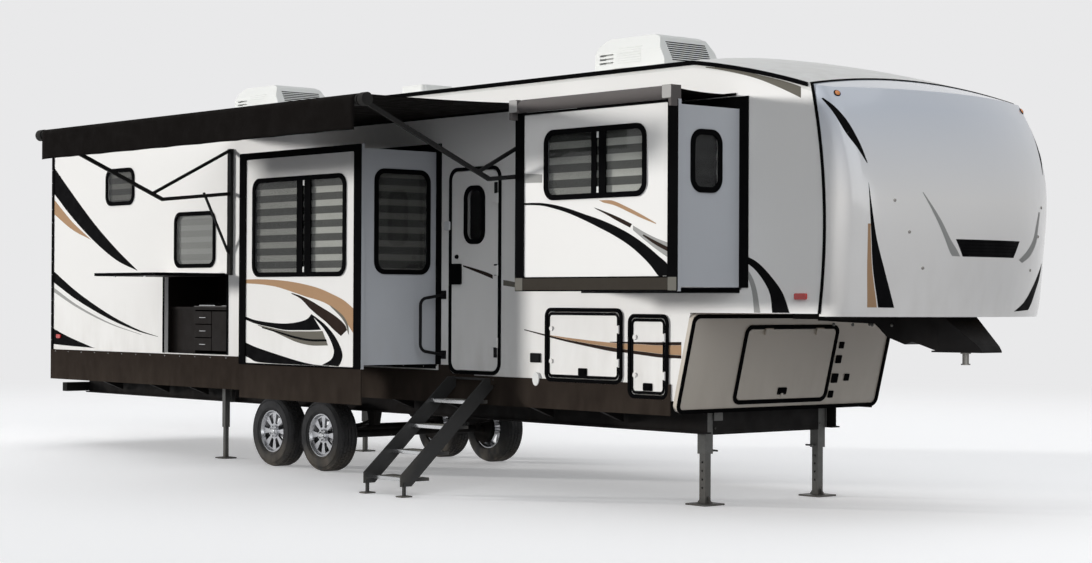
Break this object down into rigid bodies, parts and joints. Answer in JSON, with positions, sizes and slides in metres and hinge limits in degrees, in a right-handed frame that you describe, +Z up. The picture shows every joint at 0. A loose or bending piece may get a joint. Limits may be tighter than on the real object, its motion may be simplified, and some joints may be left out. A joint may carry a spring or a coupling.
{
  "type": "fifth wheel trailer",
  "caption": "Gooseneck travel trailer with a hollow body, slide-out rooms, awning, entry steps, outdoor kitchen and landing legs.",
  "frame": {"origin": "centre of the king pin's lower face", "axes": "+X forward to the nose, +Y to the left, +Z up"},
  "size_m": [12.583, 5.3783, 4],
  "materials": {
    "tyre": "black tyre rubber",
    "rim_alloy": "machined alloy with dark pockets",
    "glass": "dark tinted safety glass",
    "black_trim": "black moulding",
    "white_gelcoat": "white gelcoat sidewall with printed stripes",
    "cap_gelcoat": "painted moulded cap, silver to white",
    "roof_membrane": "white rubber roof sheet",
    "dark_skirt": "dark corrugated skirt metal",
    "grey_panel": "warm grey painted skin",
    "floor_board": "floor board",
    "white_plastic": "white moulded covers",
    "lamp_red": "red lens",
    "black_tube": "satin black tube",
    "galvanised": "galvanised steel",
    "pin_steel": "forged steel",
    "kitchen_lining": "dark cabinet lining",
    "step_metal": "black powder coat with bright tread noses",
    "awning_cloth": "black vinyl awning cloth",
    "topper_case": "grey roller case",
    "belly_plastic": "black corrugated belly sheet",
    "frame_black": "black chassis paint"
  },
  "bodies": {
    "trailer": {"frame_rail_right": "frame_black", "frame_rail_left": "frame_black", "cross_members": "frame_black", "belly_panel": "belly_plastic", "springs": "frame_black", "axle_front": "frame_black", "axle_rear": "frame_black", "landing_legs": "galvanised", "stabilisers": "galvanised", "pin_box": "frame_black", "king_pin": "pin_steel", "main_floor": "floor_board", "deck_floor": "floor_board", "side_wall_right": "white_gelcoat", "side_wall_left": "white_gelcoat", "skirt_right": "dark_skirt", "skirt_left": "dark_skirt", "rear_wall": "white_gelcoat", "front_wall": "grey_panel", "roof": "roof_membrane", "front_cap": "cap_gelcoat", "body_trim": "black_trim", "window_glass": "glass", "lamps": "lamp_red", "roof_units": "white_plastic", "ladder": "black_tube", "grab_handle": "black_tube", "kitchen_box": "kitchen_lining", "awning_arms": "black_tube", "awning_roller": "black_tube", "awning_fabric": "awning_cloth"},
    "wheel_front_right": {"tyre_front_right": "tyre", "rim_front_right": "rim_alloy"},
    "wheel_front_left": {"tyre_front_left": "tyre", "rim_front_left": "rim_alloy"},
    "wheel_rear_right": {"tyre_rear_right": "tyre", "rim_rear_right": "rim_alloy"},
    "wheel_rear_left": {"tyre_rear_left": "tyre", "rim_rear_left": "rim_alloy"},
    "entry_door": {"entry_door": "white_gelcoat", "entry_door_window": "black_trim", "entry_door_glass": "glass"},
    "baggage_door_rear": {"baggage_door_rear": "white_gelcoat"},
    "baggage_door_front": {"baggage_door_front": "white_gelcoat"},
    "front_compartment_door": {"front_compartment_door": "grey_panel"},
    "kitchen_flap": {"kitchen_flap": "white_gelcoat"},
    "entry_steps": {"entry_steps": "step_metal"},
    "living_slide": {"living_slide_shell": "white_gelcoat", "living_slide_trim": "black_trim", "living_slide_glass": "glass", "living_slide_skirt": "dark_skirt"},
    "bedroom_slide": {"bedroom_slide_shell": "white_gelcoat", "bedroom_slide_trim": "black_trim", "bedroom_slide_glass": "glass", "bedroom_slide_topper": "topper_case"},
    "offside_slide": {"offside_slide_shell": "white_gelcoat", "offside_slide_trim": "black_trim", "offside_slide_glass": "glass"}
  },
  "joints": [
    {"name": "wheel_front_right_spin", "type": "hinge", "parent": "trailer", "child": "wheel_front_right", "pos_m": [-6.93, -1.05, -0.838], "axis": [0, 1, 0], "continuous": true},
    {"name": "wheel_front_left_spin", "type": "hinge", "parent": "trailer", "child": "wheel_front_left", "pos_m": [-6.93, 1.05, -0.838], "axis": [0, 1, 0], "continuous": true},
    {"name": "wheel_rear_right_spin", "type": "hinge", "parent": "trailer", "child": "wheel_rear_right", "pos_m": [-7.78, -1.05, -0.838], "axis": [0, 1, 0], "continuous": true},
    {"name": "wheel_rear_left_spin", "type": "hinge", "parent": "trailer", "child": "wheel_rear_left", "pos_m": [-7.78, 1.05, -0.838], "axis": [0, 1, 0], "continuous": true},
    {"name": "entry_door_hinge", "type": "hinge", "parent": "trailer", "child": "entry_door", "pos_m": [-4.142, -1.2403, 0.745], "axis": [0, 0, 1], "range_deg": [0, 150]},
    {"name": "baggage_door_rear_hinge", "type": "hinge", "parent": "trailer", "child": "baggage_door_rear", "pos_m": [-2.582, -1.2403, 0.1075], "axis": [0, 0, 1], "range_deg": [0, 110]},
    {"name": "baggage_door_front_hinge", "type": "hinge", "parent": "trailer", "child": "baggage_door_front", "pos_m": [-2.04, -1.2403, 0.0325], "axis": [0, 0, 1], "range_deg": [0, 110]},
    {"name": "front_compartment_door_hinge", "type": "hinge", "parent": "trailer", "child": "front_compartment_door", "pos_m": [-1.74237, -0.025, 0.2574], "axis": [0, -1, 0], "range_deg": [0, 100]},
    {"name": "kitchen_flap_hinge", "type": "hinge", "parent": "trailer", "child": "kitchen_flap", "pos_m": [-9.12, -1.2263, 0.753], "axis": [1, 0, 0], "range_deg": [0, 90]},
    {"name": "entry_steps_hinge", "type": "hinge", "parent": "trailer", "child": "entry_steps", "pos_m": [-4.4475, -1.262, -0.212], "axis": [-1, 0, 0], "range_deg": [0, 100]},
    {"name": "living_slide_travel", "type": "slide", "parent": "trailer", "child": "living_slide", "axis": [0, 1, 0], "range_m": [0, 0.814]},
    {"name": "bedroom_slide_travel", "type": "slide", "parent": "trailer", "child": "bedroom_slide", "axis": [0, 1, 0], "range_m": [0, 0.651]},
    {"name": "offside_slide_travel", "type": "slide", "parent": "trailer", "child": "offside_slide", "axis": [0, -1, 0], "range_m": [0, 0.712]}
  ]
}
